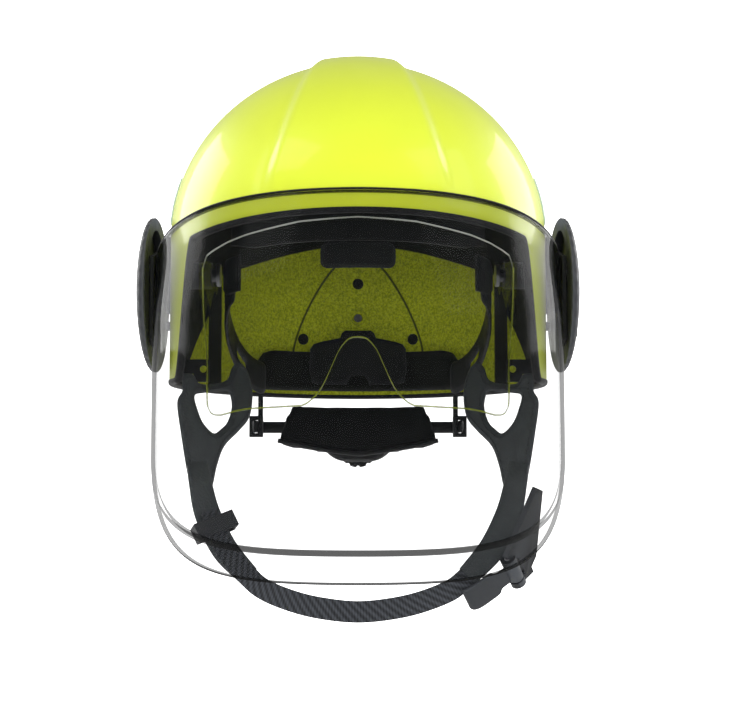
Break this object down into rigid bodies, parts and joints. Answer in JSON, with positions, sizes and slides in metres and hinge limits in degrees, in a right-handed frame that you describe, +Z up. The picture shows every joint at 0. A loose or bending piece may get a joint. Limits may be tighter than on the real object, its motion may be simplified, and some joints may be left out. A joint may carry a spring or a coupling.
{
  "type": "firefighter helmet",
  "caption": "Jet-style firefighter helmet with a clear swing-up outer visor, a retracting inner eye shield, side discs, a headband cradle with nape ratchet and a buckled chin strap",
  "frame": {"origin": "midway between the two side discs, on the wearer's ear line, where the head sits", "axes": "the face opening looks along -Y, the crown is up along +Z, and +X is the wearer's left"},
  "size_m": [0.2684, 0.2997, 0.337],
  "materials": {
    "shell_paint": "pigmented glass-fibre shell under clear gloss coat",
    "trim_rubber": "satin extruded rubber edge",
    "reflective": "retro-reflective film",
    "liner_foam": "moulded rigid foam",
    "webbing": "woven polyester webbing",
    "pad_fabric": "knitted fabric over soft foam",
    "band_plastic": "moulded nylon",
    "rear_fabric": "napped lining fabric",
    "disc_plastic": "glass-filled nylon, fine grain",
    "pin_steel": "zinc-plated steel",
    "bush_nylon": "natural nylon",
    "yoke_leather": "grained leather",
    "buckle_plastic": "moulded acetal",
    "clear_visor": "hard-coated clear polycarbonate",
    "clear_lens": "hard-coated clear polycarbonate"
  },
  "bodies": {
    "helmet": {"outer_shell": "shell_paint", "shell_edge_trim": "trim_rubber", "reflective_strip_left": "reflective", "reflective_strip_right": "reflective", "impact_liner": "liner_foam", "crown_strap_long": "webbing", "crown_strap_cross": "webbing", "crown_pad": "pad_fabric", "brow_band": "band_plastic", "brow_tab": "webbing", "brow_pad": "pad_fabric", "temple_bracket_left": "band_plastic", "temple_bracket_right": "band_plastic", "side_band_left": "band_plastic", "side_band_right": "band_plastic", "rear_liner": "rear_fabric", "rear_plate": "band_plastic", "rear_rivets": "band_plastic", "rear_boss": "band_plastic", "boss_screw": "pin_steel", "side_housing_left": "disc_plastic", "side_housing_right": "disc_plastic", "side_cover_left": "disc_plastic", "side_cover_right": "disc_plastic", "pivot_bush_left": "bush_nylon", "pivot_bush_right": "bush_nylon", "pivot_bolt_right": "pin_steel", "strap_anchor_left": "pin_steel", "strap_anchor_right": "pin_steel", "yoke_left": "yoke_leather", "yoke_right": "yoke_leather", "strap_adjuster": "buckle_plastic", "chin_strap": "webbing", "buckle_plate": "buckle_plastic", "buckle_pin": "pin_steel", "nape_guide_left": "band_plastic", "nape_guide_right": "band_plastic"},
    "outer_visor": {"outer_visor": "clear_visor", "visor_top_seal": "trim_rubber", "visor_arm_left": "disc_plastic", "visor_arm_right": "disc_plastic"},
    "inner_visor": {"inner_visor": "clear_lens", "inner_arm_left": "clear_lens", "inner_arm_right": "clear_lens", "inner_visor_shaft": "pin_steel", "inner_visor_lever": "disc_plastic"},
    "nape": {"nape_frame": "band_plastic", "nape_pad": "pad_fabric", "ratchet_housing": "band_plastic"},
    "knob": {"ratchet_knob": "band_plastic"},
    "clip": {"buckle_clip": "buckle_plastic"}
  },
  "joints": [
    {"name": "visor_swing", "type": "hinge", "parent": "helmet", "child": "outer_visor", "pos_m": [0, -0.003, 0.012], "axis": [-1, 0, 0], "range_deg": [0, 75]},
    {"name": "eye_shield_swing", "type": "hinge", "parent": "helmet", "child": "inner_visor", "pos_m": [0, -0.003, 0.012], "axis": [-1, 0, 0], "range_deg": [0, 45]},
    {"name": "knob_turn", "type": "hinge", "parent": "nape", "child": "knob", "pos_m": [0, 0.1, -0.095], "axis": [0, 1, 0], "range_deg": [-100, 100]},
    {"name": "nape_slide", "type": "slide", "parent": "helmet", "child": "nape", "axis": [0, 1, 0], "range_m": [-0.008, 0.008]},
    {"name": "clip_swing", "type": "hinge", "parent": "helmet", "child": "clip", "pos_m": [0.08783, -0.058, -0.16384], "axis": [-0.3779, -0.5451, 0.7483], "range_deg": [0, 50]}
  ],
  "couplings": [
    {"joint": "knob_turn", "follows": "nape_slide", "rad_per_m": -215}
  ]
}
